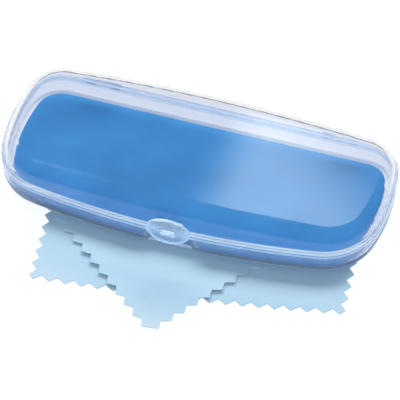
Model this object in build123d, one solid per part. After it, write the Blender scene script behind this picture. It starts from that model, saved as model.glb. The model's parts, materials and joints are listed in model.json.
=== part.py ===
from build123d import *
import math
import os

# Clear hinged spectacle case on two pinked cleaning cloths. Millimetres.
# +X runs along the case, +Y to its hinge side, +Z up. Z = 0 is the table under the lower cloth,
# and the origin is under the middle of the case.

# ---- driving dimensions: plan of the case at its rim ----
HALF_LENGTH = 80.0
HALF_DEPTH = 34.8
END_BULGE_Y = 5.2           # where the bowed ends are widest
FRONT_CORNER = (73.8, -26.6)  # where the front and end bows would meet
BACK_CORNER = (74.8, HALF_DEPTH)  # the back is straight
FRONT_CORNER_R = 23.4
BACK_CORNER_R = 15.5

# ---- heights ----
CLOTH_T = 0.40
CLOTH_GAP = 0.05
CASE_Z = 2 * (CLOTH_T + CLOTH_GAP)  # underside of the case
BASE_DEPTH = 10.3
RIM_Z = CASE_Z + BASE_DEPTH  # parting plane between base and lid
PARTING_GAP = 0.05          # each half stops this far from the parting plane
LID_RISE = 13.3             # crown of the lid over the parting plane
CROWN_R = 560.0             # the lid's top falls towards both ends on this radius

# ---- shell sections ----
WALL = 1.8
FLOOR = 2.0
FLANGE_OUT = 0.5            # how far the rim flange stands out of the wall
FLANGE_T = 1.6
FLANGE_EDGE_R = 0.45
BASE_DRAFT = 0.1            # inward lean of the base wall over its depth
LID_DRAFT = 0.8             # inward lean of the lid wall over its rise
BASE_EDGE_R = 3.0
TRAY_EDGE_R = 2.4           # between the inside of the base wall and its floor
LID_EDGE_R = 7.2
LIP_T = 0.8                 # locating lip of the base, inside the lid's wall
LIP_RISE = 1.0
LIP_CLEAR = 0.3

# ---- finger recess in the base, behind the clasp ----
RECESS_HALF_W = 9.25
RECESS_DEPTH = 2.6
RECESS_CORNER_R = 1.2

# ---- liner pad ----
LINER_T = 2.5
LINER_CLEAR = 2.5           # the pad stops where the floor starts to curve up
LINER_TOP_R = 0.5
LINER_BOTTOM_R = 0.3

# ---- rear hinges ----
HINGE_X = 50.0
HINGE_Y = HALF_DEPTH + 0.9
BARREL_R = 1.5
HINGE_PIN_R = 0.65
HINGE_BORE_R = 0.70
LID_BARREL_L = 6.0
BASE_BARREL_L = 4.0
BARREL_GAP = 0.2
RELIEF = 0.3                # clearance cut in the flange round the other half's barrel

# ---- clasp: heights are over the parting plane ----
CLASP_HALF_W = 9.1
CLASP_TOP = 8.6
CLASP_BOTTOM = -3.4
CLASP_T = 1.2
CLASP_BACK_Y = -HALF_DEPTH - 1.0
CLASP_LIP_OUT = 0.8         # the lower edge curves forward by this much
CLASP_AXIS_Y = -HALF_DEPTH - 0.05
CLASP_AXIS_UP = 5.1
KNUCKLE_R = 0.80
KNUCKLE_HALF_W = 2.6
LUG_IN = 2.85
LUG_OUT = 5.4
CLASP_PIN_R = 0.40
CLASP_BORE_R = 0.45
WINDOW_HALF_W = 3.0
WINDOW_LOW = 0.5
WINDOW_HIGH = 3.3
CATCH_HALF_W = 2.7
CATCH_POST_LOW = -1.5
CATCH_NOSE_LOW = 0.85       # the window's lower edge hooks under this
CATCH_HIGH = 2.1
CATCH_GAP = 0.15            # between the catch post and the rim behind it
CATCH_POST_T = 0.75
CATCH_NOSE_OUT = 1.0        # how far the nose stands out of the post

# ---- cleaning cloths: pinked edges, a woven cloth lies a little out of square ----
TOOTH_DEPTH = 2.6
LOWER_CUT = 2.1             # corners are blunt between the last tips of two edges
UPPER_CUT = 5.5
LOWER_CORNER = (-49.3, -65.7)
LOWER_FRONT = (8.9, 127.7, 19, 2.2)  # direction in degrees, length, notches, outward bow
LOWER_SIDE = (97.0, 69.0, 10, 0)
UPPER_CORNER = (5.9, -80.8)
UPPER_RIGHT = (56.8, 69.8, 9, 0)
UPPER_LEFT = (138.5, 91.0, 12, 0)


def outline(inset, z):
    """Plan face of the case, drawn in from the rim's edge by inset, at height z."""
    fx, fy = FRONT_CORNER
    bx, by = BACK_CORNER
    edges = [
        ThreePointArc((-fx, fy), (0, -HALF_DEPTH), (fx, fy)),
        ThreePointArc((fx, fy), (HALF_LENGTH, END_BULGE_Y), (bx, by)),
        Line((bx, by), (-bx, by)),
        ThreePointArc((-bx, by), (-HALF_LENGTH, END_BULGE_Y), (-fx, fy)),
    ]
    face = Face(Wire(edges))
    front = [v for v in face.vertices() if v.Y < 0]
    face = face.fillet_2d(FRONT_CORNER_R, front)
    back = [v for v in face.vertices() if v.Y > by - 1 and abs(v.X) > bx - 1]
    face = face.fillet_2d(BACK_CORNER_R, back)
    if inset:
        face = Face(face.outer_wire().offset_2d(-inset))
    return face.moved(Location((0, 0, z)))


def prism(inset, z0, z1):
    """Straight-sided slab of the case's plan between two heights."""
    return extrude(outline(inset, z0), amount=z1 - z0, dir=(0, 0, 1))


def leaning(inset_low, z0, inset_high, z1):
    """Slab of the case's plan whose wall leans between two insets."""
    low = outline(inset_low, z0).outer_wire()
    high = outline(inset_high, z1).outer_wire()
    return Solid.make_loft([low, high], ruled=True)


def edges_at(solid, z, tol=0.02):
    """Edges that lie flat at height z."""
    return [e for e in solid.edges() if abs(e.bounding_box().min.Z - z) < tol
            and abs(e.bounding_box().max.Z - z) < tol]


def box(x0, x1, y0, y1, z0, z1):
    """Box between two corners."""
    size = Box(x1 - x0, y1 - y0, z1 - z0, align=(Align.MIN, Align.MIN, Align.MIN))
    return size.moved(Location((x0, y0, z0)))


def rod(x0, x1, y, z, r):
    """Cylinder along X."""
    plane = Plane(origin=(x0, y, z), x_dir=(0, 1, 0), z_dir=(1, 0, 0))
    return extrude(plane * Circle(r), amount=x1 - x0)


def crowned(inset, drop, edge_r):
    """Domed body of the lid above the parting plane, lowered by drop under the outer crown."""
    top = RIM_Z + LID_RISE - drop
    body = leaning(inset, RIM_Z, inset + LID_DRAFT, RIM_Z + LID_RISE)
    centre_z = top - (CROWN_R - drop)
    crown = Plane(origin=(0, -60, centre_z), x_dir=(1, 0, 0), z_dir=(0, 1, 0))
    drum = extrude(crown * Circle(CROWN_R - drop), amount=120)
    body = body & drum
    solid = body.solids()[0]
    rim = [e for e in solid.edges() if e.bounding_box().min.Z > RIM_Z + 3
           and e.bounding_box().size.Z < LID_RISE * 0.6
           and on_crown(e, centre_z, CROWN_R - drop)]
    return solid.fillet(edge_r, rim)


def on_crown(edge, centre_z, radius):
    """True if both ends and the middle of an edge lie on the crown cylinder."""
    points = [edge @ 0, edge @ 0.5, edge @ 1]
    return all(abs(math.hypot(p.X, p.Z - centre_z) - radius) < 0.02 for p in points)


def flange(z0, z1, outer_z):
    """Rim flange between two heights, rounded on the edge away from the parting plane."""
    slab = prism(0, z0, z1).solids()[0]
    slab = slab.fillet(FLANGE_EDGE_R, edges_at(slab, outer_z))
    return slab - prism(FLANGE_OUT + 0.5, z0 - 1, z1 + 1)


def recess_tool(grow, z0, z1):
    """Block that forms the finger recess, grown by the wall for its inner side."""
    half = RECESS_HALF_W + grow
    back = -HALF_DEPTH + FLANGE_OUT + RECESS_DEPTH + grow
    block = box(-half, half, -HALF_DEPTH - 5, back, z0, z1).solids()[0]
    upright = [e for e in block.edges().filter_by(Axis.Z) if e.center().Y > back - 0.1]
    return block.fillet(RECESS_CORNER_R + grow, upright)


def hinge_spans(side):
    """X spans of the two base barrels and of the lid barrel of one hinge."""
    mid = side * HINGE_X
    half = LID_BARREL_L / 2
    inner = half + BARREL_GAP
    base = [(mid - inner - BASE_BARREL_L, mid - inner), (mid + inner, mid + inner + BASE_BARREL_L)]
    return base, (mid - half, mid + half)


def barrel(span, up):
    """Hinge barrel with the web that ties it to its shell; up is +1 on the lid, -1 on the base."""
    wall_y = HALF_DEPTH - FLANGE_OUT - 0.6
    near, far = sorted((RIM_Z + up * PARTING_GAP, RIM_Z + up * BARREL_R))
    web = box(span[0], span[1], wall_y, HINGE_Y, near, far)
    return rod(span[0], span[1], HINGE_Y, RIM_Z, BARREL_R) + web


def barrel_relief(span):
    """Room cut in the other half's flange for a turning barrel."""
    return rod(span[0] - BARREL_GAP, span[1] + BARREL_GAP, HINGE_Y, RIM_Z, BARREL_R + RELIEF)


def hinge_bore(side):
    """Hole through all the barrels of one hinge."""
    reach = LID_BARREL_L / 2 + BARREL_GAP + BASE_BARREL_L + 1
    mid = side * HINGE_X
    return rod(mid - reach, mid + reach, HINGE_Y, RIM_Z, HINGE_BORE_R)


def make_base():
    """Tray: rounded shell, rim flange, locating lip, finger recess, catch and hinge barrels."""
    outer = leaning(FLANGE_OUT + BASE_DRAFT, CASE_Z, FLANGE_OUT, RIM_Z - PARTING_GAP).solids()[0]
    outer = outer.fillet(BASE_EDGE_R, edges_at(outer, CASE_Z))
    outer = outer - recess_tool(0, CASE_Z - 1, RIM_Z - FLANGE_T)
    floor_z = CASE_Z + FLOOR
    inner = leaning(FLANGE_OUT + BASE_DRAFT + WALL, floor_z, FLANGE_OUT + WALL, RIM_Z + 5)
    inner = inner.solids()[0]
    inner = inner.fillet(TRAY_EDGE_R, edges_at(inner, floor_z))
    inner = inner - recess_tool(WALL, CASE_Z - 1, RIM_Z - FLANGE_T + 0.2)
    lip = prism(FLANGE_OUT + WALL - LIP_T, RIM_Z - 2, RIM_Z + LIP_RISE)
    rim = flange(RIM_Z - PARTING_GAP - FLANGE_T, RIM_Z - PARTING_GAP,
                 RIM_Z - PARTING_GAP - FLANGE_T)
    body = (outer + rim + lip) - inner
    for side in (-1, 1):
        base_spans, lid_span = hinge_spans(side)
        body = body - barrel_relief(lid_span)
        for span in base_spans:
            body = body + barrel(span, -1)
    for side in (-1, 1):
        body = body - hinge_bore(side)
    return body + make_catch()


def make_catch():
    """Hook on the rim of the base: a post in front of the lid's flange and a nose for the clasp."""
    post_back = -HALF_DEPTH - CATCH_GAP
    post_front = post_back - CATCH_POST_T
    nose_front = post_front - CATCH_NOSE_OUT
    root = box(-CATCH_HALF_W, CATCH_HALF_W, post_front, -HALF_DEPTH + FLANGE_OUT,
               RIM_Z + CATCH_POST_LOW, RIM_Z - PARTING_GAP - CATCH_GAP)
    post = box(-CATCH_HALF_W, CATCH_HALF_W, post_front, post_back,
               RIM_Z + CATCH_POST_LOW, RIM_Z + CATCH_HIGH)
    nose = box(-CATCH_HALF_W, CATCH_HALF_W, nose_front, post_back,
               RIM_Z + CATCH_NOSE_LOW, RIM_Z + CATCH_HIGH).solids()[0]
    lead = [e for e in nose.edges().filter_by(Axis.X)
            if e.center().Y < nose_front + 0.1 and e.center().Z < RIM_Z + CATCH_NOSE_LOW + 0.1]
    return root + post + nose.chamfer(0.4, None, lead)


def make_lid():
    """Crowned lid: thin shell, rim flange, rebate for the lip, hinge barrels and clasp lugs."""
    outer = crowned(FLANGE_OUT, 0, LID_EDGE_R)
    inner = crowned(FLANGE_OUT + WALL, WALL, LID_EDGE_R - WALL)
    rim = flange(RIM_Z + PARTING_GAP, RIM_Z + PARTING_GAP + FLANGE_T,
                 RIM_Z + PARTING_GAP + FLANGE_T)
    body = (outer + rim) - inner
    body = body - prism(-1, RIM_Z - 1, RIM_Z + PARTING_GAP)
    rebate = prism(FLANGE_OUT + WALL - LIP_T - LIP_CLEAR, RIM_Z - 1, RIM_Z + LIP_RISE + LIP_CLEAR)
    body = body - rebate
    for side in (-1, 1):
        base_spans, lid_span = hinge_spans(side)
        for span in base_spans:
            body = body - barrel_relief(span)
        body = body + barrel(lid_span, 1)
    for side in (-1, 1):
        body = body - hinge_bore(side)
    axis_z = RIM_Z + CLASP_AXIS_UP
    for x0, x1 in ((-LUG_OUT, -LUG_IN), (LUG_IN, LUG_OUT)):
        lug = rod(x0, x1, CLASP_AXIS_Y, axis_z, KNUCKLE_R)
        web = box(x0, x1, CLASP_AXIS_Y, -HALF_DEPTH + FLANGE_OUT + 0.9,
                  axis_z - KNUCKLE_R, axis_z + KNUCKLE_R)
        body = body + lug + web
    return body - rod(-LUG_OUT - 1, LUG_OUT + 1, CLASP_AXIS_Y, axis_z, CLASP_BORE_R)


def make_clasp():
    """Oval snap plate with its knuckle, its window for the catch and a curved lower lip."""
    mid_up = (CLASP_TOP + CLASP_BOTTOM) / 2
    half_h = (CLASP_TOP - CLASP_BOTTOM) / 2
    front_y = CLASP_BACK_Y - CLASP_T
    low_z = RIM_Z + CLASP_BOTTOM
    high_z = RIM_Z + CLASP_TOP
    bend_z = RIM_Z + WINDOW_LOW - 0.5
    section = Plane(origin=(-CLASP_HALF_W, 0, 0), x_dir=(0, 1, 0), z_dir=(1, 0, 0))
    tip = front_y - CLASP_LIP_OUT
    bend_mid = (bend_z + low_z) / 2
    sag = CLASP_LIP_OUT * 0.25
    profile = Face(Wire([
        Line((CLASP_BACK_Y, high_z), (CLASP_BACK_Y, bend_z)),
        ThreePointArc((CLASP_BACK_Y, bend_z), (CLASP_BACK_Y - sag, bend_mid),
                      (CLASP_BACK_Y - CLASP_LIP_OUT, low_z)),
        Line((CLASP_BACK_Y - CLASP_LIP_OUT, low_z), (tip, low_z)),
        ThreePointArc((tip, low_z), (front_y - sag, bend_mid), (front_y, bend_z)),
        Line((front_y, bend_z), (front_y, high_z)),
        Line((front_y, high_z), (CLASP_BACK_Y, high_z)),
    ]))
    strip = extrude(section * profile, amount=2 * CLASP_HALF_W, dir=(1, 0, 0))
    face = Plane(origin=(0, CLASP_BACK_Y + 1, RIM_Z + mid_up), x_dir=(1, 0, 0), z_dir=(0, -1, 0))
    oval = extrude(face * Ellipse(CLASP_HALF_W, half_h), amount=8)
    plate = strip & oval
    window = box(-WINDOW_HALF_W, WINDOW_HALF_W, front_y - 3, CLASP_BACK_Y + 1,
                 RIM_Z + WINDOW_LOW, RIM_Z + WINDOW_HIGH)
    axis_z = RIM_Z + CLASP_AXIS_UP
    knuckle = rod(-KNUCKLE_HALF_W, KNUCKLE_HALF_W, CLASP_AXIS_Y, axis_z, KNUCKLE_R)
    web = box(-KNUCKLE_HALF_W, KNUCKLE_HALF_W, CLASP_BACK_Y - 0.2, CLASP_AXIS_Y,
              axis_z - KNUCKLE_R, axis_z + KNUCKLE_R)
    body = plate - window + knuckle + web
    return body - rod(-LUG_OUT, LUG_OUT, CLASP_AXIS_Y, axis_z, CLASP_BORE_R)


def make_liner():
    """Soft pad that lies on the floor of the base, cut out round the finger recess."""
    inset = FLANGE_OUT + BASE_DRAFT + WALL + LINER_CLEAR
    low = CASE_Z + FLOOR
    pad = prism(inset, low, low + LINER_T).solids()[0]
    pad = pad - recess_tool(WALL + LINER_CLEAR, low - 1, low + LINER_T + 1)
    pad = pad.solids()[0]
    pad = pad.fillet(LINER_TOP_R, edges_at(pad, low + LINER_T))
    return pad.fillet(LINER_BOTTOM_R, edges_at(pad, low))


def pinked(corner, first, second, cut, z):
    """Thin cloth with zigzag edges; first and second are the two edges that leave corner."""

    def step(edge):
        turn = math.radians(edge[0])
        return edge[1] * math.cos(turn), edge[1] * math.sin(turn)

    ax, ay = step(first)
    bx, by = step(second)
    cx, cy = corner
    corners = [(cx, cy), (cx + ax, cy + ay), (cx + ax + bx, cy + ay + by), (cx + bx, cy + by)]
    points = []
    for i, (_, length, notches, bow) in enumerate((first, second, first, second)):
        (x0, y0), (x1, y1) = corners[i], corners[(i + 1) % 4]
        ux, uy = (x1 - x0) / length, (y1 - y0) / length
        half_pitch = (length - 2 * cut) / (2 * notches)
        for k in range(2 * notches + 1):
            along = cut + k * half_pitch
            share = along / length
            into = TOOTH_DEPTH * (k % 2) - 4 * bow * share * (1 - share)
            points.append((x0 + ux * along - uy * into, y0 + uy * along + ux * into))
    face = Face(Wire(Polyline(*points, close=True).edges()))
    return extrude(face.moved(Location((0, 0, z))), amount=CLOTH_T, dir=(0, 0, 1))


def hinge_pin(side):
    """Plain steel pin through one hinge."""
    reach = LID_BARREL_L / 2 + BARREL_GAP + BASE_BARREL_L
    mid = side * HINGE_X
    return rod(mid - reach, mid + reach, HINGE_Y, RIM_Z, HINGE_PIN_R)


def clasp_pin():
    """Short pin on which the clasp swings."""
    return rod(-LUG_OUT, LUG_OUT, CLASP_AXIS_Y, RIM_Z + CLASP_AXIS_UP, CLASP_PIN_R)


nodes = {
    "base_shell": make_base(),
    "lid_shell": make_lid(),
    "clasp": make_clasp(),
    "clasp_pin": clasp_pin(),
    "hinge_pin_left": hinge_pin(-1),
    "hinge_pin_right": hinge_pin(1),
    "base_liner": make_liner(),
    "cleaning_cloth_lower": pinked(LOWER_CORNER, LOWER_FRONT, LOWER_SIDE, LOWER_CUT, 0.0),
    "cleaning_cloth_upper": pinked(UPPER_CORNER, UPPER_RIGHT, UPPER_LEFT, UPPER_CUT,
                                   CLOTH_T + CLOTH_GAP),
}

os.makedirs("parts", exist_ok=True)
for name, shape in nodes.items():
    export_step(shape, f"parts/{name}.step")
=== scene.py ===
import json
import math

import bpy
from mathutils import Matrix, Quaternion, Vector, geometry, noise

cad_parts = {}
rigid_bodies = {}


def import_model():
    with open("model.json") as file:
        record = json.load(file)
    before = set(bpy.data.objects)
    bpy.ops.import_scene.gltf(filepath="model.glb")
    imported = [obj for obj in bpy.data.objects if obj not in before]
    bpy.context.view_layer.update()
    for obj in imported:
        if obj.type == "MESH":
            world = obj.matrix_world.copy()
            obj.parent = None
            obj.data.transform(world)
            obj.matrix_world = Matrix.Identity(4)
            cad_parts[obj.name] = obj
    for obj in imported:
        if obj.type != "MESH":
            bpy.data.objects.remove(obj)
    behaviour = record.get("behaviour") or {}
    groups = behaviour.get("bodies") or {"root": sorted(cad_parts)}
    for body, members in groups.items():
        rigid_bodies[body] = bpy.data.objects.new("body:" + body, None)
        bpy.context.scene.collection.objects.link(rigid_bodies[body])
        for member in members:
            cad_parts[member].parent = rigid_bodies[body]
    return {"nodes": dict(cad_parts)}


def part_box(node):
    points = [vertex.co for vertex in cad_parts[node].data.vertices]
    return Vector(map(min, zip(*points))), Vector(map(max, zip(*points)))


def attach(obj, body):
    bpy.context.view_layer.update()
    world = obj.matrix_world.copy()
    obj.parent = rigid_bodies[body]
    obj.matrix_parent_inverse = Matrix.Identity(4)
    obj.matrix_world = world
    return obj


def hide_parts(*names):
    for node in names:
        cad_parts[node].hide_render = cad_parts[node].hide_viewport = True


# Clear hinged spectacle case with a blue flocked liner, on two pinked cleaning cloths.
# Sizes that repeat the CAD model are in millimetres and turned to metres when a mesh is made.

for leftover in list(bpy.data.objects):
    bpy.data.objects.remove(leftover)
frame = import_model()
bpy.context.view_layer.update()
nodes = frame["nodes"]
MM = 0.001

# ---- plan of the case, as in the CAD model ----
HALF_DEPTH = 34.8
FRONT_CORNER = (73.8, -26.6)
BACK_CORNER = (74.8, 34.8)
END_BULGE = (80.0, 5.2)
FRONT_CORNER_R = 23.4
BACK_CORNER_R = 15.5
FRONT_STEPS = 40                     # points on each stretch of half the outline
FRONT_CORNER_STEPS = 22
END_STEPS = 14
BACK_CORNER_STEPS = 20
BACK_STEPS = 16


def circle_through(p, q, r):
    """Centre and radius of the circle through three points."""
    ax, ay = q[0] - p[0], q[1] - p[1]
    bx, by = r[0] - p[0], r[1] - p[1]
    d = 2 * (ax * by - ay * bx)
    ux = (by * (ax * ax + ay * ay) - ay * (bx * bx + by * by)) / d
    uy = (ax * (bx * bx + by * by) - bx * (ax * ax + ay * ay)) / d
    return (p[0] + ux, p[1] + uy), math.hypot(ux, uy)


def fillet_centre(c1, r1, c2, r2, near):
    """Centre of a circle that lies at r1 from c1 and r2 from c2, on near's side."""
    dx, dy = c2[0] - c1[0], c2[1] - c1[1]
    d = math.hypot(dx, dy)
    h = (r1 * r1 - r2 * r2 + d * d) / (2 * d)
    k = math.sqrt(max(r1 * r1 - h * h, 0))
    mx, my = c1[0] + dx / d * h, c1[1] + dy / d * h
    options = [(mx - dy / d * k, my + dx / d * k), (mx + dy / d * k, my - dx / d * k)]
    return min(options, key=lambda c: math.hypot(c[0] - near[0], c[1] - near[1]))


def arc_points(centre, radius, start, end, count):
    """Points on an arc from start's direction to end's, both as seen from the centre."""
    a0 = math.atan2(start[1] - centre[1], start[0] - centre[0])
    a1 = math.atan2(end[1] - centre[1], end[0] - centre[0])
    turn = (a1 - a0 + math.pi) % (2 * math.pi) - math.pi
    return [(centre[0] + radius * math.cos(a0 + turn * k / count),
             centre[1] + radius * math.sin(a0 + turn * k / count)) for k in range(count)]


def on_line(c1, c2, r1):
    """The point at r1 from c1 in the direction of c2."""
    d = math.hypot(c2[0] - c1[0], c2[1] - c1[1])
    return c1[0] + (c2[0] - c1[0]) / d * r1, c1[1] + (c2[1] - c1[1]) / d * r1


def case_outline(inset):
    """The case's plan drawn in by inset, counter-clockwise from the middle of the front."""
    fx, fy = FRONT_CORNER
    front_c, front_r = circle_through((-fx, fy), (0, -HALF_DEPTH), (fx, fy))
    end_c, end_r = circle_through(FRONT_CORNER, END_BULGE, BACK_CORNER)
    low_c = fillet_centre(front_c, front_r - FRONT_CORNER_R, end_c, end_r - FRONT_CORNER_R,
                          FRONT_CORNER)
    rise = HALF_DEPTH - BACK_CORNER_R - end_c[1]
    reach = math.sqrt((end_r - BACK_CORNER_R) ** 2 - rise ** 2)
    high_c = (end_c[0] + reach, HALF_DEPTH - BACK_CORNER_R)
    front_end = on_line(front_c, low_c, front_r)
    end_low = on_line(end_c, low_c, end_r)
    end_high = on_line(end_c, high_c, end_r)
    back_end = (high_c[0], HALF_DEPTH)
    half = arc_points(front_c, front_r - inset, (0, -HALF_DEPTH), front_end, FRONT_STEPS)
    half += arc_points(low_c, FRONT_CORNER_R - inset, front_end, end_low, FRONT_CORNER_STEPS)
    half += arc_points(end_c, end_r - inset, end_low, end_high, END_STEPS)
    half += arc_points(high_c, BACK_CORNER_R - inset, end_high, back_end, BACK_CORNER_STEPS)
    half += [(high_c[0] * (1 - k / BACK_STEPS), HALF_DEPTH - inset) for k in range(BACK_STEPS)]
    mirror = [(-x, y) for x, y in half[1:]]
    return half + [(0, HALF_DEPTH - inset)] + mirror[::-1]


# ---- materials ----
# Colours are linear. Heights and places on the case are in metres, in its own frame.
PLASTIC_IOR = 1.49
PLASTIC_TINT = (0.985, 0.98, 0.985)
WALL_TINT_AND_SHADE = (0.86, 0.88, 0.98)       # upright walls: partly the tint of more plastic seen through, partly painted shade, darker and lilac
PLASTIC_SHADOW = (0.87, 0.93, 0.98, 1)
PLASTIC_ROUGHNESS = (0.015, 0.06)
HAZE_SCALE = 60
MOULD_WAVE_SCALE = 25
MOULD_WAVE_DEPTH = 0.4 * MM
SATIN_TINT = (0.97, 0.97, 1.0, 1)
SATIN_ROUGHNESS = 0.35
SATIN_TRANSMISSION = 0.25
RIM_HEIGHT = 11.2 * MM               # the parting line; the flanges beside it are satin
SATIN_FROM = 0.10 * MM
SATIN_TO = 1.55 * MM
SATIN_SOFT = 0.25 * MM
SATIN_LEAST = 0.55
SATIN_MOST = 0.85
FOOT_HEIGHT = 3.0 * MM               # the tray's rounded foot, satin and partly see-through
FOOT_SHARE = 0.15
FOOT_SATIN = 1.0
FOOT_TINT = (0.90, 0.92, 0.98, 1)
CATCH_FRONT = -35.4 * MM             # only the catch stands further forward, below CATCH_TOP
CATCH_TOP = 13.5 * MM
WALL_HAZE = 0.15
CLASP_HALF_WIDTH = 9.1 * MM
CLASP_MIDDLE = 13.8 * MM
CLASP_HALF_HEIGHT = 6.0 * MM
CLASP_PALE = (0.84, 0.90, 0.97)
CLASP_DEEP = (0.76, 0.83, 0.92)
CLASP_ROUGHNESS = (0.22, 0.34)
CLASP_CLEAR = 0.86                   # transmission of the plate, and of its brighter edge
CLASP_EDGE_CLEAR = 0.30
CLASP_EDGE_FROM = 0.80               # squared share of the way out to the oval's rim
CLASP_EDGE_TO = 0.95
GRAIN_SCALE = 4500
GRAIN_DEPTH = 0.06 * MM
CLOUD_SCALE = 220
LINER_DARK = (0.022, 0.186, 0.430)
LINER_LIGHT = (0.038, 0.250, 0.550)
LINER_SHEEN = (0.55, 0.75, 1.0, 1)
PILE_SCALE = 2600
PILE_SHARE = 0.35
PILE_DEPTH = 0.3 * MM
BRUSH_SCALE = 45
CLOTH_LIGHT = (0.66, 0.74, 0.77)
CLOTH_DARK = (0.58, 0.68, 0.73)
THREAD_SCALE = 700
FUZZ_SCALE = 1500
MOTTLE_SCALE = 28
WEAVE_SHARE = 0.6
TEXTURE_SHARE = 0.45
WEAVE_DEPTH = 0.12 * MM
STEEL = (0.62, 0.64, 0.66, 1)
STEEL_ROUGHNESS = (0.22, 0.38)
MARK_SCALE = 2500
MARK_DEPTH = 0.02 * MM


def new_material(name):
    """A new material, its node tree, its Principled shader and its output."""
    material = bpy.data.materials.new(name)
    material.use_nodes = True
    tree = material.node_tree
    tree.nodes.clear()
    out = tree.nodes.new("ShaderNodeOutputMaterial")
    shader = tree.nodes.new("ShaderNodeBsdfPrincipled")
    tree.links.new(shader.outputs[0], out.inputs[0])
    return material, tree, shader, out


def object_coords(tree, rotation=0.0):
    """Object coordinates, turned about Z."""
    coord = tree.nodes.new("ShaderNodeTexCoord")
    mapping = tree.nodes.new("ShaderNodeMapping")
    mapping.inputs["Rotation"].default_value = (0, 0, rotation)
    tree.links.new(coord.outputs["Object"], mapping.inputs["Vector"])
    return mapping.outputs[0]


def noise_node(tree, vector, scale, detail=4.0, roughness=0.5):
    """A noise texture's value."""
    node = tree.nodes.new("ShaderNodeTexNoise")
    node.inputs["Scale"].default_value = scale
    node.inputs["Detail"].default_value = detail
    node.inputs["Roughness"].default_value = roughness
    tree.links.new(vector, node.inputs["Vector"])
    return node.outputs[0]


def ramp(tree, value, stops):
    """A colour ramp over a value; stops are (position, colour)."""
    node = tree.nodes.new("ShaderNodeValToRGB")
    while len(node.color_ramp.elements) < len(stops):
        node.color_ramp.elements.new(0.5)
    for element, (position, colour) in zip(node.color_ramp.elements, stops):
        element.position = position
        element.color = (*colour, 1)
    tree.links.new(value, node.inputs[0])
    return node.outputs[0]


def spread(tree, value, low, high):
    """Maps a 0-1 value to a range."""
    node = tree.nodes.new("ShaderNodeMapRange")
    node.inputs["To Min"].default_value = low
    node.inputs["To Max"].default_value = high
    tree.links.new(value, node.inputs["Value"])
    return node.outputs[0]


def smooth_range(tree, value, start, end, low=0.0, high=1.0):
    """low at start, high at end, smooth between."""
    node = tree.nodes.new("ShaderNodeMapRange")
    node.interpolation_type = "SMOOTHSTEP"
    node.inputs["From Min"].default_value = start
    node.inputs["From Max"].default_value = end
    node.inputs["To Min"].default_value = low
    node.inputs["To Max"].default_value = high
    tree.links.new(value, node.inputs["Value"])
    return node.outputs[0]


def maths(tree, operation, a, b):
    """A Math node on two sockets or numbers."""
    node = tree.nodes.new("ShaderNodeMath")
    node.operation = operation
    for socket, value in zip(node.inputs, (a, b)):
        if isinstance(value, (int, float)):
            socket.default_value = value
        else:
            tree.links.new(value, socket)
    return node.outputs[0]


def axes(tree, vector):
    """A vector's three parts."""
    node = tree.nodes.new("ShaderNodeSeparateXYZ")
    tree.links.new(vector, node.inputs[0])
    return node.outputs


def see_through(tree, tint):
    """A shader that lets light straight through, tinted."""
    node = tree.nodes.new("ShaderNodeBsdfTransparent")
    node.inputs[0].default_value = tint
    return node


def mixed(tree, share, first, second):
    """A mix of two shaders, with this share of the second."""
    node = tree.nodes.new("ShaderNodeMixShader")
    tree.links.new(share, node.inputs[0])
    tree.links.new(first.outputs[0], node.inputs[1])
    tree.links.new(second.outputs[0], node.inputs[2])
    return node


def bump(tree, shader, height, strength, distance):
    """Bumps the shader's normal by a height."""
    node = tree.nodes.new("ShaderNodeBump")
    node.inputs["Strength"].default_value = strength
    node.inputs["Distance"].default_value = distance
    tree.links.new(height, node.inputs["Height"])
    tree.links.new(node.outputs[0], shader.inputs["Normal"])


def clear_plastic():
    """Polished clear plastic with faint moulding waves; lamps shine through it, a little dimmed."""
    material, tree, shader, out = new_material("clear_plastic")
    coord = tree.nodes.new("ShaderNodeTexCoord")
    flat = maths(tree, "ABSOLUTE", axes(tree, coord.outputs["Normal"])[2], 0)
    # upright walls get a darker lilac tint: partly the plastic's tint, partly painted shade
    tint = ramp(tree, flat, [(0.25, WALL_TINT_AND_SHADE), (0.85, PLASTIC_TINT)])
    tree.links.new(tint, shader.inputs["Base Color"])
    shader.inputs["Transmission Weight"].default_value = 1.0
    shader.inputs["IOR"].default_value = PLASTIC_IOR
    vector = object_coords(tree)
    haze = noise_node(tree, vector, HAZE_SCALE, 6)
    tree.links.new(spread(tree, haze, *PLASTIC_ROUGHNESS), shader.inputs["Roughness"])
    bump(tree, shader, noise_node(tree, vector, MOULD_WAVE_SCALE, 2), 0.06, MOULD_WAVE_DEPTH)
    satin = tree.nodes.new("ShaderNodeBsdfPrincipled")
    satin.inputs["Base Color"].default_value = SATIN_TINT
    satin.inputs["Roughness"].default_value = SATIN_ROUGHNESS
    satin.inputs["Transmission Weight"].default_value = SATIN_TRANSMISSION
    place = axes(tree, vector)
    surface = mixed(tree, satin_share(tree, place, haze, flat), shader, satin)
    foot = smooth_range(tree, place[2], FOOT_HEIGHT, FOOT_HEIGHT - SATIN_SOFT, 0, FOOT_SHARE)
    surface = mixed(tree, foot, surface, see_through(tree, FOOT_TINT))
    path = tree.nodes.new("ShaderNodeLightPath")
    soft_ray = maths(tree, "MAXIMUM", path.outputs["Is Shadow Ray"],
                     path.outputs["Is Diffuse Ray"])
    surface = mixed(tree, soft_ray, surface, see_through(tree, PLASTIC_SHADOW))
    tree.links.new(surface.outputs[0], out.inputs[0])
    return material


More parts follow.
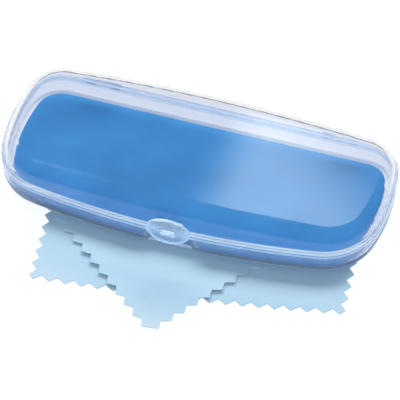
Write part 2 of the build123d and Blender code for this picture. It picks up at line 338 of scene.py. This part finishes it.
def satin_share(tree, place, haze, flat):
    """How satin the plastic is: the flanges and the catch are, the walls only a little."""
    height = place[2]
    off = maths(tree, "ABSOLUTE", maths(tree, "SUBTRACT", height, RIM_HEIGHT), 0)
    band = maths(tree, "MULTIPLY",
                 smooth_range(tree, off, SATIN_FROM, SATIN_FROM + SATIN_SOFT),
                 smooth_range(tree, off, SATIN_TO, SATIN_TO - SATIN_SOFT))
    rims = maths(tree, "MULTIPLY", band, spread(tree, haze, SATIN_LEAST, SATIN_MOST))
    ahead = smooth_range(tree, place[1], CATCH_FRONT, CATCH_FRONT - SATIN_SOFT)
    catch = maths(tree, "MULTIPLY", ahead, maths(tree, "LESS_THAN", height, CATCH_TOP))
    upright = maths(tree, "SUBTRACT", 1, flat)
    tray = maths(tree, "LESS_THAN", height, RIM_HEIGHT)
    walls = maths(tree, "MULTIPLY", maths(tree, "MULTIPLY", upright, tray), WALL_HAZE)
    foot = smooth_range(tree, height, FOOT_HEIGHT, FOOT_HEIGHT - SATIN_SOFT, 0, FOOT_SATIN)
    satin = maths(tree, "MAXIMUM", maths(tree, "MAXIMUM", rims, catch), walls)
    return maths(tree, "MAXIMUM", satin, foot)


def frosted_plastic():
    """Translucent clasp plastic with a fine spark-eroded grain and a brighter edge."""
    material, tree, shader, out = new_material("frosted_plastic")
    vector = object_coords(tree)
    grain = noise_node(tree, vector, GRAIN_SCALE, 3)
    cloud = noise_node(tree, vector, CLOUD_SCALE, 3)
    tint = ramp(tree, cloud, [(0.3, CLASP_DEEP), (0.7, CLASP_PALE)])
    tree.links.new(tint, shader.inputs["Base Color"])
    x, _, z = axes(tree, vector)
    across = maths(tree, "DIVIDE", x, CLASP_HALF_WIDTH)
    up = maths(tree, "DIVIDE", maths(tree, "SUBTRACT", z, CLASP_MIDDLE), CLASP_HALF_HEIGHT)
    outward = maths(tree, "ADD", maths(tree, "MULTIPLY", across, across),
                    maths(tree, "MULTIPLY", up, up))
    clarity = smooth_range(tree, outward, CLASP_EDGE_FROM, CLASP_EDGE_TO,
                           CLASP_CLEAR, CLASP_EDGE_CLEAR)
    tree.links.new(clarity, shader.inputs["Transmission Weight"])
    shader.inputs["IOR"].default_value = PLASTIC_IOR
    tree.links.new(spread(tree, cloud, *CLASP_ROUGHNESS), shader.inputs["Roughness"])
    bump(tree, shader, grain, 0.25, GRAIN_DEPTH)
    path = tree.nodes.new("ShaderNodeLightPath")
    surface = mixed(tree, path.outputs["Is Shadow Ray"], shader,
                    see_through(tree, PLASTIC_SHADOW))
    tree.links.new(surface.outputs[0], out.inputs[0])
    return material


def flocked_liner():
    """Short blue flock: mottled pile with a soft sheen."""
    material, tree, shader, _ = new_material("blue_flock")
    vector = object_coords(tree)
    pile = noise_node(tree, vector, PILE_SCALE, 3, 0.7)
    brushed = noise_node(tree, vector, BRUSH_SCALE, 4, 0.55)
    level = maths(tree, "ADD", maths(tree, "MULTIPLY", pile, PILE_SHARE),
                  maths(tree, "MULTIPLY", brushed, 1 - PILE_SHARE))
    tint = ramp(tree, level, [(0.35, LINER_DARK), (0.65, LINER_LIGHT)])
    tree.links.new(tint, shader.inputs["Base Color"])
    shader.inputs["Roughness"].default_value = 0.9
    shader.inputs["Sheen Weight"].default_value = 0.25
    shader.inputs["Sheen Roughness"].default_value = 0.5
    shader.inputs["Sheen Tint"].default_value = LINER_SHEEN
    bump(tree, shader, pile, 0.5, PILE_DEPTH)
    return material


def woven_cloth(name, turn):
    """Fine microfibre weave, warp and weft along the cloth's own edges."""
    material, tree, shader, _ = new_material(name)
    vector = object_coords(tree, -turn)
    threads = []
    for direction in ("X", "Y"):
        wave = tree.nodes.new("ShaderNodeTexWave")
        wave.bands_direction = direction
        wave.inputs["Scale"].default_value = THREAD_SCALE
        wave.inputs["Distortion"].default_value = 0.6
        wave.inputs["Detail"].default_value = 1.0
        tree.links.new(vector, wave.inputs["Vector"])
        threads.append(wave.outputs["Fac"])
    weave = maths(tree, "MAXIMUM", threads[0], threads[1])
    fuzz = noise_node(tree, vector, FUZZ_SCALE, 3, 0.6)
    mottle = noise_node(tree, vector, MOTTLE_SCALE, 5, 0.55)
    height = maths(tree, "ADD", maths(tree, "MULTIPLY", weave, WEAVE_SHARE),
                   maths(tree, "MULTIPLY", fuzz, 1 - WEAVE_SHARE))
    level = maths(tree, "ADD", maths(tree, "MULTIPLY", height, TEXTURE_SHARE),
                  maths(tree, "MULTIPLY", mottle, 1 - TEXTURE_SHARE))
    tint = ramp(tree, level, [(0.3, CLOTH_DARK), (0.7, CLOTH_LIGHT)])
    tree.links.new(tint, shader.inputs["Base Color"])
    shader.inputs["Roughness"].default_value = 0.85
    shader.inputs["Sheen Weight"].default_value = 0.15
    shader.inputs["Sheen Roughness"].default_value = 0.4
    bump(tree, shader, height, 0.35, WEAVE_DEPTH)
    return material


def ground_steel():
    """Steel pin with fine turning marks."""
    material, tree, shader, _ = new_material("ground_steel")
    vector = object_coords(tree)
    marks = tree.nodes.new("ShaderNodeTexWave")
    marks.bands_direction = "X"
    marks.inputs["Scale"].default_value = MARK_SCALE
    marks.inputs["Distortion"].default_value = 2.0
    tree.links.new(vector, marks.inputs["Vector"])
    shader.inputs["Base Color"].default_value = STEEL
    shader.inputs["Metallic"].default_value = 1.0
    tree.links.new(spread(tree, marks.outputs["Fac"], *STEEL_ROUGHNESS), shader.inputs["Roughness"])
    bump(tree, shader, marks.outputs["Fac"], 0.1, MARK_DEPTH)
    return material


# ---- meshes ----
ROW_RATIO = 0.87                     # rows of a near enough equilateral grid
EDGE_CLEARANCE = 0.45                # grid points keep this share of the pitch off the outline


def dress(node, material):
    """Gives a CAD node its material."""
    mesh = nodes[node].data
    mesh.materials.clear()
    mesh.materials.append(material)


def mesh_object(name, verts, faces, material):
    """A smooth mesh object from points in millimetres."""
    mesh = bpy.data.meshes.new(name)
    mesh.from_pydata([Vector(v) * MM for v in verts], [], faces)
    mesh.validate()
    mesh.polygons.foreach_set("use_smooth", [True] * len(mesh.polygons))
    mesh.materials.append(material)
    obj = bpy.data.objects.new(name, mesh)
    bpy.context.scene.collection.objects.link(obj)
    return obj


def filled(outline, pitch):
    """Triangles inside a closed outline, with a grid of inner points about pitch apart."""
    count = len(outline)
    points = [Vector(p) for p in outline]
    xs = [p[0] for p in outline]
    ys = [p[1] for p in outline]
    rows = int((max(ys) - min(ys)) / (pitch * ROW_RATIO))
    columns = int((max(xs) - min(xs)) / pitch)
    for j in range(1, rows):
        for i in range(1, columns):
            x = min(xs) + (i + 0.5 * (j % 2)) * pitch
            y = min(ys) + j * pitch * ROW_RATIO
            if inside(outline, x, y) and distance_to(outline, x, y) > pitch * EDGE_CLEARANCE:
                points.append(Vector((x, y)))
    edges = [(k, (k + 1) % count) for k in range(count)]
    verts, _, faces, *_ = geometry.delaunay_2d_cdt(points, edges, [], 1, 1e-5)
    return [(v.x, v.y) for v in verts], [list(f) for f in faces]


def inside(outline, x, y):
    """True if a point lies inside a closed outline."""
    hit = False
    for (x0, y0), (x1, y1) in zip(outline, outline[1:] + outline[:1]):
        if (y0 > y) != (y1 > y) and x < x0 + (y - y0) * (x1 - x0) / (y1 - y0):
            hit = not hit
    return hit


def distance_to(outline, x, y):
    """Distance from a point to a closed outline."""
    best = 1e9
    for (x0, y0), (x1, y1) in zip(outline, outline[1:] + outline[:1]):
        dx, dy = x1 - x0, y1 - y0
        t = min(max(((x - x0) * dx + (y - y0) * dy) / (dx * dx + dy * dy), 0), 1)
        best = min(best, math.hypot(x - x0 - t * dx, y - y0 - t * dy))
    return best


# ---- liner: a flocked pad with rolled edges, in place of the plain CAD pad ----
LINER_INSET = 4.9           # at the back and the ends, where the floor is flat
FRONT_INSET = 2.3           # at the front the flock runs out to the wall
TRAY_EDGE_R = 2.4
LINER_NOTCH_HALF = 11.1
LINER_NOTCH_Y = -29.85
NOTCH_EASE = 0.8
FRONT_FROM = -6.0
FRONT_FULL = -22.0
LINER_PITCH = 3.0
FOOT_RINGS = [(0.45, -0.06), (0.12, 0.12), (0.0, 0.45)]               # drawn in, height
ROLL_RINGS = [(0.0, 0.95), (0.09, 0.6), (0.32, 0.27), (0.7, 0.1)]     # drawn in, below the top
CROWN = 0.08
CROWN_REACH = 4
RIPPLE = 0.05
RIPPLE_LIMIT = 0.02
RIPPLE_SCALE = 0.08
RIPPLE_SEED = 3.1


def smooth(value, low, high):
    """0 at low, 1 at high, smooth between."""
    share = min(max((value - low) / (high - low), 0), 1)
    return share * share * (3 - 2 * share)


def liner_outline(roll, height):
    """Plan of the pad at a height over the tray's floor; roll draws in its free edges."""
    rise = max(TRAY_EDGE_R - height, 0)
    curve = TRAY_EDGE_R - math.sqrt(TRAY_EDGE_R ** 2 - rise ** 2)
    free = case_outline(LINER_INSET + roll)
    bonded = case_outline(FRONT_INSET + curve + roll * 0.3)
    points = []
    for (x, y), (bx, by) in zip(free, bonded):
        share = smooth(y, FRONT_FROM, FRONT_FULL)
        x, y = x + (bx - x) * share, y + (by - y) * share
        if y < 0:
            notch = 1 - smooth(abs(x), LINER_NOTCH_HALF, LINER_NOTCH_HALF + NOTCH_EASE)
            y = y + (max(LINER_NOTCH_Y + roll, y) - y) * notch
        points.append((x, y))
    return points


def make_liner(material):
    """Rolled sides from rings, and a lightly rippled top. It is bonded a hair into the tray."""
    low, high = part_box("base_liner")
    z0, z1 = low.z / MM, high.z / MM
    rings = FOOT_RINGS + [(roll, z1 - z0 - below) for roll, below in ROLL_RINGS]
    verts, faces = [], []
    count = len(case_outline(0))
    for roll, height in rings:
        verts += [(x, y, z0 + height) for x, y in liner_outline(roll, max(height, 0))]
    for r in range(len(rings) - 1):
        for k in range(count):
            a, b = r * count + k, r * count + (k + 1) % count
            faces.append((a, b, b + count, a + count))
    faces.append(tuple(range(count))[::-1])
    rim = liner_outline(*rings[-1])
    top, triangles = filled(rim, LINER_PITCH)
    offset = len(verts) - count
    index = []
    for k, (x, y) in enumerate(top):
        if k < count:
            index.append(offset + k)
            continue
        ripple = RIPPLE * noise.noise(Vector((x * RIPPLE_SCALE, y * RIPPLE_SCALE, RIPPLE_SEED)))
        crown = CROWN * min(distance_to(rim, x, y) / CROWN_REACH, 1)
        index.append(len(verts))
        verts.append((x, y, z1 - ROLL_RINGS[-1][1] + crown + min(ripple, RIPPLE_LIMIT)))
    faces += [tuple(index[k] for k in f) for f in triangles]
    pad = mesh_object("flocked_liner", verts, faces, material)
    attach(pad, "base")
    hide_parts("base_liner")


# ---- cleaning cloths ----
TOOTH_DEPTH = 2.6
CLOTH_THICK = 0.34
CLOTH_FOLD_ANGLE = math.radians(50)
CLOTH_PITCH = 3.2
CLOTH_GAP = 0.02
FREE_FROM = 1.0                      # in front of the case, where a cloth starts to lift
FREE_OVER = 14
EDGE_REACH = 7.0
WAVE_SCALE = 0.045
# Each edge: its direction in degrees, its length, its notches and how far it bows out.
LOWER = {"corner": (-49.3, -65.7), "first": (8.9, 127.7, 19, 2.2),
         "second": (97.0, 69.0, 10, 0), "cut": 2.1}
UPPER = {"corner": (5.9, -80.8), "first": (56.8, 69.8, 9, 0),
         "second": (138.5, 91.0, 12, 0), "cut": 5.5}


def pinked(corner, first, second, cut):
    """Zigzag outline of a cloth; first and second are the edges that leave the corner."""
    def step(edge):
        turn = math.radians(edge[0])
        return edge[1] * math.cos(turn), edge[1] * math.sin(turn)

    ax, ay = step(first)
    bx, by = step(second)
    cx, cy = corner
    corners = [(cx, cy), (cx + ax, cy + ay), (cx + ax + bx, cy + ay + by), (cx + bx, cy + by)]
    points = []
    for i, (_, length, notches, bow) in enumerate((first, second, first, second)):
        (x0, y0), (x1, y1) = corners[i], corners[(i + 1) % 4]
        ux, uy = (x1 - x0) / length, (y1 - y0) / length
        half_pitch = (length - 2 * cut) / (2 * notches)
        for k in range(2 * notches + 1):
            along = cut + k * half_pitch
            share = along / length
            into = TOOTH_DEPTH * (k % 2) - 4 * bow * share * (1 - share)
            points.append((x0 + ux * along - uy * into, y0 + uy * along + ux * into))
    return points


def polygon_area(outline):
    """Area of a closed outline."""
    pairs = zip(outline, outline[1:] + outline[:1])
    return abs(sum(x0 * y1 - x1 * y0 for (x0, y0), (x1, y1) in pairs)) / 2


def make_cloth(name, node, plan, body, lift, seed, material):
    """A thin laid sheet; its free edges lift a little, more between the teeth."""
    low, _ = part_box(node)
    base_z = low.z / MM + CLOTH_GAP
    outline = pinked(**plan)
    points, triangles = filled(outline, CLOTH_PITCH)
    verts = []
    for x, y in points:
        free = min(max((-y - HALF_DEPTH - FREE_FROM) / FREE_OVER, 0), 1)
        edge = math.exp(-distance_to(outline, x, y) / EDGE_REACH)
        wave = 0.5 + 0.5 * noise.noise(Vector((x * WAVE_SCALE, y * WAVE_SCALE, seed)))
        verts.append((x, y, base_z + free * lift * (0.25 * wave + edge * (0.5 + 0.25 * wave))))
    total = len(verts)
    verts += [(x, y, z + CLOTH_THICK) for x, y, z in verts]
    faces = [tuple(reversed(face)) for face in triangles]
    faces += [tuple(k + total for k in face) for face in triangles]
    for k in range(len(outline)):
        after = (k + 1) % len(outline)
        faces.append((k, after, after + total, k + total))
    cloth = mesh_object(name, verts, faces, material)
    cloth.data.set_sharp_from_angle(angle=CLOTH_FOLD_ANGLE)
    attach(cloth, body)
    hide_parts(node)
    width, length = plan["first"][1] * MM, plan["second"][1] * MM
    slant = abs(math.sin(math.radians(plan["second"][0] - plan["first"][0])))
    area = min(polygon_area(outline) * MM * MM, width * length * slant)


# ---- dressing the model ----
plastic = clear_plastic()
steel = ground_steel()
dress("base_shell", plastic)
dress("lid_shell", plastic)
dress("clasp", frosted_plastic())
for pin in ("clasp_pin", "hinge_pin_left", "hinge_pin_right"):
    dress(pin, steel)
make_liner(flocked_liner())
lower_weave = woven_cloth("microfibre_lower", math.radians(LOWER["first"][0]))
upper_weave = woven_cloth("microfibre_upper", math.radians(UPPER["first"][0]))
make_cloth("pinked_cloth_lower", "cleaning_cloth_lower", LOWER, "lower_cloth", 0.0, 1.7,
           lower_weave)
make_cloth("pinked_cloth_upper", "cleaning_cloth_upper", UPPER, "upper_cloth", 0.6, 5.3,
           upper_weave)

# ---- stage and light ----
FLOOR_HALF = 3                       # metres
FLOOR_DROP = 0.0001                  # just under the lower cloth
PAPER_TINT = (0.86, 0.86, 0.90, 1)
SEEN_PAPER = (0.35, 0.35, 0.36, 1)
SEEN_PAPER_GLOW = (1, 1, 1, 1)
SEEN_PAPER_STRENGTH = 0.85
DIM_PAPER = (0.20, 0.20, 0.20, 1)
DIM_PAPER_GLOW = (1.0, 0.97, 0.93, 1)
DIM_PAPER_STRENGTH = 0.74
SKY_TINT = (0.58, 0.78, 1.0, 1)
SKY_STRENGTH = 0.38
PANEL_TINT = (0.90, 1.0, 0.94, 1)
PANEL_FADE_FROM = 0.45               # share of the half size where a panel starts to fade
PANEL_FALL = 1.7


def glowing_paper(tree, tint, glow, strength):
    """Matte paper that also gives off light, which keeps it even."""
    shader = tree.nodes.new("ShaderNodeBsdfPrincipled")
    shader.inputs["Base Color"].default_value = tint
    shader.inputs["Roughness"].default_value = 1.0
    shader.inputs["Specular IOR Level"].default_value = 0.0
    shader.inputs["Emission Color"].default_value = glow
    shader.inputs["Emission Strength"].default_value = strength
    return shader


def pale_paper():
    """Paper that is bright where it is seen directly and dimmer through the plastic."""
    material, tree, shader, out = new_material("pale_paper")
    shader.inputs["Base Color"].default_value = PAPER_TINT
    shader.inputs["Roughness"].default_value = 0.9
    seen = glowing_paper(tree, SEEN_PAPER, SEEN_PAPER_GLOW, SEEN_PAPER_STRENGTH)
    dim = glowing_paper(tree, DIM_PAPER, DIM_PAPER_GLOW, DIM_PAPER_STRENGTH)
    path = tree.nodes.new("ShaderNodeLightPath")
    surface = mixed(tree, path.outputs["Is Transmission Ray"], shader, dim)
    surface = mixed(tree, path.outputs["Is Camera Ray"], surface, seen)
    tree.links.new(surface.outputs[0], out.inputs[0])
    return material


def rectangle(half_width, half_height):
    """Corners of a flat rectangle about the origin."""
    return [(-half_width, -half_height, 0), (half_width, -half_height, 0),
            (half_width, half_height, 0), (-half_width, half_height, 0)]


floor_mesh = bpy.data.meshes.new("floor")
floor_mesh.from_pydata(rectangle(FLOOR_HALF, FLOOR_HALF), [], [(0, 1, 2, 3)])
floor = bpy.data.objects.new("floor", floor_mesh)
floor.location.z = -FLOOR_DROP
bpy.context.scene.collection.objects.link(floor)
floor_mesh.materials.append(pale_paper())

world = bpy.data.worlds.new("studio")
world.use_nodes = True
world.node_tree.nodes["Background"].inputs[0].default_value = SKY_TINT
world.node_tree.nodes["Background"].inputs[1].default_value = SKY_STRENGTH
bpy.context.scene.world = world


def soft_light(name, place, aim, width, height, power, colour):
    """A rectangular area light at place, facing aim, that no mirror or lens shows."""
    data = bpy.data.lights.new(name, "AREA")
    data.shape = "RECTANGLE"
    data.size = width
    data.size_y = height
    data.energy = power
    data.color = colour
    light = bpy.data.objects.new(name, data)
    light.location = place
    light.rotation_euler = (Vector(aim) - Vector(place)).to_track_quat("-Z", "Y").to_euler()
    light.visible_glossy = False
    light.visible_transmission = False
    bpy.context.scene.collection.objects.link(light)


def reflector(name, place, half_width, half_height, lean, strength):
    """A glowing panel whose light fades to its edges; the lid mirrors it."""
    mesh = bpy.data.meshes.new(name)
    mesh.from_pydata(rectangle(half_width, half_height), [], [(0, 1, 2, 3)])
    panel = bpy.data.objects.new(name, mesh)
    panel.location = place
    facing = Vector(place).to_track_quat("Z", "Y")
    panel.rotation_euler = (facing @ Quaternion((0, 0, 1), math.radians(lean))).to_euler()
    bpy.context.scene.collection.objects.link(panel)
    glow, tree, shader, out = new_material(name + "_glow")
    x, y, _ = axes(tree, object_coords(tree))
    fades = []
    for along, half in ((x, half_width), (y, half_height)):
        share = maths(tree, "DIVIDE", maths(tree, "ABSOLUTE", along, 0), half)
        fades.append(smooth_range(tree, share, 1.0, PANEL_FADE_FROM))
    both = maths(tree, "MULTIPLY", fades[0], fades[1])
    level = maths(tree, "MULTIPLY", maths(tree, "POWER", both, PANEL_FALL), strength)
    shader.inputs["Base Color"].default_value = (0, 0, 0, 1)
    shader.inputs["Emission Color"].default_value = PANEL_TINT
    tree.links.new(level, shader.inputs["Emission Strength"])
    shader.inputs["Specular IOR Level"].default_value = 0.0
    added = tree.nodes.new("ShaderNodeAddShader")
    tree.links.new(shader.outputs[0], added.inputs[0])
    tree.links.new(see_through(tree, (1, 1, 1, 1)).outputs[0], added.inputs[1])
    tree.links.new(added.outputs[0], out.inputs[0])
    mesh.materials.append(glow)


soft_light("key_softbox", (-0.25, 1.05, 0.50), (0, 0, 0), 1.3, 0.35, 35, (1.0, 0.93, 0.84))
soft_light("front_fill", (0.3, -1.3, 0.8), (0, 0, 0), 1.4, 0.6, 10, (0.56, 0.78, 1.0))
reflector("window_glow", (-0.025, 0.597, 0.823), 0.21, 0.13, -16, 2.4)
reflector("low_glow", (-0.42, 0.46, 0.77), 0.22, 0.06, -7, 0.8)

# ---- camera ----
CAMERA_DISTANCE = 3.360
CAMERA_HEIGHT_ANGLE = math.radians(47.52)
CAMERA_SIDE_ANGLE = math.radians(17.70)
SENSOR_WIDTH = 36
LENS = 755.982
CLIP_END = 50
target = Vector((6.38, -14.30, 11.2)) * MM
flat_reach = math.cos(CAMERA_HEIGHT_ANGLE)
away = Vector((math.sin(CAMERA_SIDE_ANGLE) * flat_reach,
               -math.cos(CAMERA_SIDE_ANGLE) * flat_reach,
               math.sin(CAMERA_HEIGHT_ANGLE)))
camera_data = bpy.data.cameras.new("camera")
camera_data.sensor_width = SENSOR_WIDTH
camera_data.lens = LENS
camera_data.clip_end = CLIP_END
camera = bpy.data.objects.new("camera", camera_data)
camera.location = target + away * CAMERA_DISTANCE
camera.rotation_euler = (-away).to_track_quat("-Z", "Y").to_euler()
bpy.context.scene.collection.objects.link(camera)
bpy.context.scene.camera = camera
bpy.context.scene.view_settings.view_transform = "Standard"

bpy.context.view_layer.update()
